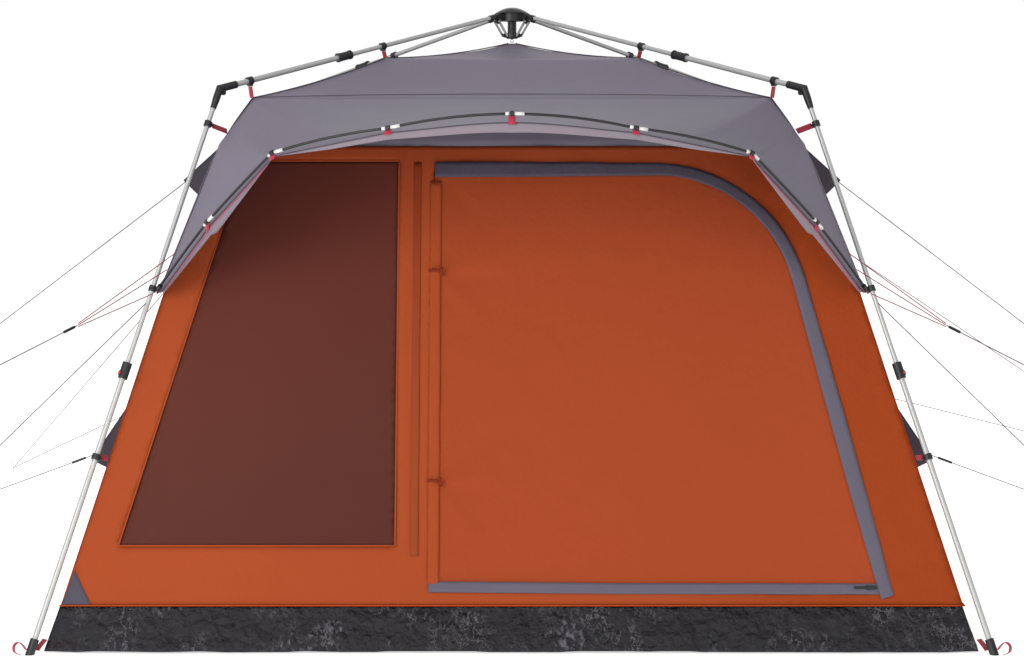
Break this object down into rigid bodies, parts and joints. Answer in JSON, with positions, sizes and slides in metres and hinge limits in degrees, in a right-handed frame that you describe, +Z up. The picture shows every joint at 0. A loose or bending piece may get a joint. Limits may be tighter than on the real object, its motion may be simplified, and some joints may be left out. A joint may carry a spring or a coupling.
{
  "type": "dome tent",
  "caption": "Family tent with an external folding frame, orange front with mesh window and door, grey fly with awning, side vents and guy lines.",
  "frame": {"origin": "centre of the groundsheet's underside, on the ground", "axes": "+X to the right of someone facing the door, +Y from the door to the back, +Z up"},
  "size_m": [5.0438, 5.392, 2.162],
  "materials": {
    "groundsheet_pe": "glossy coated weave",
    "wall_orange": "matte woven polyester",
    "wall_side": "matte woven polyester",
    "door_fabric": "matte woven polyester",
    "window_mesh": "fine see-through mesh",
    "fly_fabric": "matte coated polyester",
    "vent_fabric": "matte coated polyester",
    "zip_tape": "smooth coated tape",
    "zip_metal": "painted",
    "tie_loop": "soft webbing",
    "fibreglass": "smooth, with bright ferrules",
    "black_plastic": "moulded, satin",
    "red_webbing": "woven webbing",
    "guy_cord": "braided cord",
    "red_plastic": "moulded",
    "aluminium_tube": "drawn, satin",
    "strut_steel": "polished",
    "peg_steel": "bare"
  },
  "bodies": {
    "tent_shell": {"groundsheet": "groundsheet_pe", "tub_walls": "groundsheet_pe", "wall_front": "wall_orange", "wall_left": "wall_side", "wall_right": "wall_side", "wall_back": "wall_side", "mesh_window": "window_mesh", "fly_roof": "fly_fabric", "fly_skirt": "fly_fabric", "awning": "fly_fabric", "vent_hoods": "vent_fabric", "zip_cover": "zip_tape", "awning_pole": "fibreglass", "pole_clips": "black_plastic", "webbing_straps": "red_webbing", "guy_upper_left": "guy_cord", "guy_upper_right": "guy_cord", "guy_awning_left": "guy_cord", "guy_awning_right": "guy_cord", "guy_front_left": "guy_cord", "guy_front_right": "guy_cord", "guy_rear_left": "guy_cord", "guy_rear_right": "guy_cord", "guy_lower_left": "guy_cord", "guy_lower_right": "guy_cord", "guy_tensioners": "black_plastic", "ground_peg": "peg_steel", "door_ties": "tie_loop"},
    "door": {"door_panel": "door_fabric"},
    "zip_slider": {"zip_slider": "zip_metal"},
    "hub": {"hub": "black_plastic"},
    "collar": {"hub_collar": "black_plastic"},
    "arm_inner_front_left": {"arm_inner_front_left": "aluminium_tube"},
    "arm_outer_front_left": {"arm_outer_front_left": "aluminium_tube"},
    "leg_upper_front_left": {"leg_upper_front_left": "aluminium_tube"},
    "leg_lower_front_left": {"leg_lower_front_left": "aluminium_tube", "foot_front_left": "black_plastic"},
    "button_front_left": {"leg_button_front_left": "red_plastic"},
    "strut_front_left": {"strut_front_left": "strut_steel"},
    "arm_inner_front_right": {"arm_inner_front_right": "aluminium_tube"},
    "arm_outer_front_right": {"arm_outer_front_right": "aluminium_tube"},
    "leg_upper_front_right": {"leg_upper_front_right": "aluminium_tube"},
    "leg_lower_front_right": {"leg_lower_front_right": "aluminium_tube", "foot_front_right": "black_plastic"},
    "button_front_right": {"leg_button_front_right": "red_plastic"},
    "strut_front_right": {"strut_front_right": "strut_steel"},
    "arm_inner_rear_right": {"arm_inner_rear_right": "aluminium_tube"},
    "arm_outer_rear_right": {"arm_outer_rear_right": "aluminium_tube"},
    "leg_upper_rear_right": {"leg_upper_rear_right": "aluminium_tube"},
    "leg_lower_rear_right": {"leg_lower_rear_right": "aluminium_tube", "foot_rear_right": "black_plastic"},
    "button_rear_right": {"leg_button_rear_right": "red_plastic"},
    "strut_rear_right": {"strut_rear_right": "strut_steel"},
    "arm_inner_rear_left": {"arm_inner_rear_left": "aluminium_tube"},
    "arm_outer_rear_left": {"arm_outer_rear_left": "aluminium_tube"},
    "leg_upper_rear_left": {"leg_upper_rear_left": "aluminium_tube"},
    "leg_lower_rear_left": {"leg_lower_rear_left": "aluminium_tube", "foot_rear_left": "black_plastic"},
    "button_rear_left": {"leg_button_rear_left": "red_plastic"},
    "strut_rear_left": {"strut_rear_left": "strut_steel"}
  },
  "joints": [
    {"name": "hub_fold", "type": "slide", "parent": "tent_shell", "child": "hub", "axis": [0, 0, -1], "range_m": [0, 1.87], "deforming": ["tub_walls", "wall_front", "wall_left", "wall_right", "wall_back", "mesh_window", "fly_roof", "fly_skirt", "awning", "vent_hoods", "zip_cover", "awning_pole", "pole_clips", "webbing_straps", "guy_upper_left", "guy_upper_right", "guy_awning_left", "guy_awning_right", "guy_front_left", "guy_front_right", "guy_rear_left", "guy_rear_right", "guy_lower_left", "guy_lower_right", "guy_tensioners", "door_ties"]},
    {"name": "door_drop", "type": "hinge", "parent": "tent_shell", "child": "door", "pos_m": [0, -1.523, 0], "axis": [1, 0, 0], "range_deg": [0, 107.01]},
    {"name": "door_open", "type": "slide", "parent": "door", "child": "zip_slider", "axis": [-1, 0, 0], "range_m": [0, 1.38]},
    {"name": "collar_slide", "type": "slide", "parent": "hub", "child": "collar", "axis": [0, 0, 1], "range_m": [0, 0.04101]},
    {"name": "arm_swing_front_left", "type": "hinge", "parent": "hub", "child": "arm_inner_front_left", "pos_m": [-0.05303, -0.05303, 2.127], "axis": [-0.7071, 0.7071, 0], "range_deg": [0, 96.38]},
    {"name": "arm_slide_front_left", "type": "slide", "parent": "arm_inner_front_left", "child": "arm_outer_front_left", "axis": [0.6907, 0.6907, 0.2143], "range_m": [0, 0.34001]},
    {"name": "elbow_front_left", "type": "hinge", "parent": "arm_outer_front_left", "child": "leg_upper_front_left", "pos_m": [-0.98663, -0.98663, 1.82199], "axis": [0.7071, -0.7071, 0], "range_deg": [0, 119.91]},
    {"name": "leg_slide_front_left", "type": "slide", "parent": "leg_upper_front_left", "child": "leg_lower_front_left", "axis": [0.2826, 0.2826, 0.9167], "range_m": [0, 0.84001]},
    {"name": "strut_swing_front_left", "type": "hinge", "parent": "collar", "child": "strut_front_left", "pos_m": [-0.02687, -0.02687, 2.057], "axis": [0.7071, -0.7071, 0], "range_deg": [0, 18.81]},
    {"name": "leg_button_front_left", "type": "slide", "parent": "leg_lower_front_left", "child": "button_front_left", "axis": [0.6482, 0.6482, -0.3996], "range_m": [0, 0.003], "stiffness_N_per_m": 800, "springref_m": -0.002},
    {"name": "arm_swing_front_right", "type": "hinge", "parent": "hub", "child": "arm_inner_front_right", "pos_m": [0.05303, -0.05303, 2.127], "axis": [-0.7071, -0.7071, 0], "range_deg": [0, 96.38]},
    {"name": "arm_slide_front_right", "type": "slide", "parent": "arm_inner_front_right", "child": "arm_outer_front_right", "axis": [-0.6907, 0.6907, 0.2143], "range_m": [0, 0.34001]},
    {"name": "elbow_front_right", "type": "hinge", "parent": "arm_outer_front_right", "child": "leg_upper_front_right", "pos_m": [0.98663, -0.98663, 1.82199], "axis": [0.7071, 0.7071, 0], "range_deg": [0, 119.91]},
    {"name": "leg_slide_front_right", "type": "slide", "parent": "leg_upper_front_right", "child": "leg_lower_front_right", "axis": [-0.2826, 0.2826, 0.9167], "range_m": [0, 0.84001]},
    {"name": "strut_swing_front_right", "type": "hinge", "parent": "collar", "child": "strut_front_right", "pos_m": [0.02687, -0.02687, 2.057], "axis": [0.7071, 0.7071, 0], "range_deg": [0, 18.81]},
    {"name": "leg_button_front_right", "type": "slide", "parent": "leg_lower_front_right", "child": "button_front_right", "axis": [-0.6482, 0.6482, -0.3996], "range_m": [0, 0.003], "stiffness_N_per_m": 800, "springref_m": -0.002},
    {"name": "arm_swing_rear_right", "type": "hinge", "parent": "hub", "child": "arm_inner_rear_right", "pos_m": [0.05303, 0.05303, 2.127], "axis": [0.7071, -0.7071, 0], "range_deg": [0, 96.38]},
    {"name": "arm_slide_rear_right", "type": "slide", "parent": "arm_inner_rear_right", "child": "arm_outer_rear_right", "axis": [-0.6907, -0.6907, 0.2143], "range_m": [0, 0.34001]},
    {"name": "elbow_rear_right", "type": "hinge", "parent": "arm_outer_rear_right", "child": "leg_upper_rear_right", "pos_m": [0.98663, 0.98663, 1.82199], "axis": [-0.7071, 0.7071, 0], "range_deg": [0, 119.91]},
    {"name": "leg_slide_rear_right", "type": "slide", "parent": "leg_upper_rear_right", "child": "leg_lower_rear_right", "axis": [-0.2826, -0.2826, 0.9167], "range_m": [0, 0.84001]},
    {"name": "strut_swing_rear_right", "type": "hinge", "parent": "collar", "child": "strut_rear_right", "pos_m": [0.02687, 0.02687, 2.057], "axis": [-0.7071, 0.7071, 0], "range_deg": [0, 18.81]},
    {"name": "leg_button_rear_right", "type": "slide", "parent": "leg_lower_rear_right", "child": "button_rear_right", "axis": [-0.6482, -0.6482, -0.3996], "range_m": [0, 0.003], "stiffness_N_per_m": 800, "springref_m": -0.002},
    {"name": "arm_swing_rear_left", "type": "hinge", "parent": "hub", "child": "arm_inner_rear_left", "pos_m": [-0.05303, 0.05303, 2.127], "axis": [0.7071, 0.7071, 0], "range_deg": [0, 96.38]},
    {"name": "arm_slide_rear_left", "type": "slide", "parent": "arm_inner_rear_left", "child": "arm_outer_rear_left", "axis": [0.6907, -0.6907, 0.2143], "range_m": [0, 0.34001]},
    {"name": "elbow_rear_left", "type": "hinge", "parent": "arm_outer_rear_left", "child": "leg_upper_rear_left", "pos_m": [-0.98663, 0.98663, 1.82199], "axis": [-0.7071, -0.7071, 0], "range_deg": [0, 119.91]},
    {"name": "leg_slide_rear_left", "type": "slide", "parent": "leg_upper_rear_left", "child": "leg_lower_rear_left", "axis": [0.2826, -0.2826, 0.9167], "range_m": [0, 0.84001]},
    {"name": "strut_swing_rear_left", "type": "hinge", "parent": "collar", "child": "strut_rear_left", "pos_m": [-0.02687, 0.02687, 2.057], "axis": [-0.7071, -0.7071, 0], "range_deg": [0, 18.81]},
    {"name": "leg_button_rear_left", "type": "slide", "parent": "leg_lower_rear_left", "child": "button_rear_left", "axis": [0.6482, -0.6482, -0.3996], "range_m": [0, 0.003], "stiffness_N_per_m": 800, "springref_m": -0.002}
  ],
  "couplings": [
    {"joint": "door_drop", "follows": "hub_fold", "rad_per_m": 0.99866},
    {"joint": "collar_slide", "follows": "hub_fold", "ratio": 0.021925},
    {"joint": "arm_swing_front_left", "follows": "hub_fold", "rad_per_m": 0.89945},
    {"joint": "arm_slide_front_left", "follows": "hub_fold", "ratio": 0.18182},
    {"joint": "elbow_front_left", "follows": "hub_fold", "rad_per_m": 1.1191},
    {"joint": "leg_slide_front_left", "follows": "hub_fold", "ratio": 0.4492},
    {"joint": "strut_swing_front_left", "follows": "hub_fold", "rad_per_m": 0.17547},
    {"joint": "arm_swing_front_right", "follows": "hub_fold", "rad_per_m": 0.89945},
    {"joint": "arm_slide_front_right", "follows": "hub_fold", "ratio": 0.18182},
    {"joint": "elbow_front_right", "follows": "hub_fold", "rad_per_m": 1.1191},
    {"joint": "leg_slide_front_right", "follows": "hub_fold", "ratio": 0.4492},
    {"joint": "strut_swing_front_right", "follows": "hub_fold", "rad_per_m": 0.17547},
    {"joint": "arm_swing_rear_right", "follows": "hub_fold", "rad_per_m": 0.89945},
    {"joint": "arm_slide_rear_right", "follows": "hub_fold", "ratio": 0.18182},
    {"joint": "elbow_rear_right", "follows": "hub_fold", "rad_per_m": 1.1191},
    {"joint": "leg_slide_rear_right", "follows": "hub_fold", "ratio": 0.4492},
    {"joint": "strut_swing_rear_right", "follows": "hub_fold", "rad_per_m": 0.17547},
    {"joint": "arm_swing_rear_left", "follows": "hub_fold", "rad_per_m": 0.89945},
    {"joint": "arm_slide_rear_left", "follows": "hub_fold", "ratio": 0.18182},
    {"joint": "elbow_rear_left", "follows": "hub_fold", "rad_per_m": 1.1191},
    {"joint": "leg_slide_rear_left", "follows": "hub_fold", "ratio": 0.4492},
    {"joint": "strut_swing_rear_left", "follows": "hub_fold", "rad_per_m": 0.17547}
  ]
}
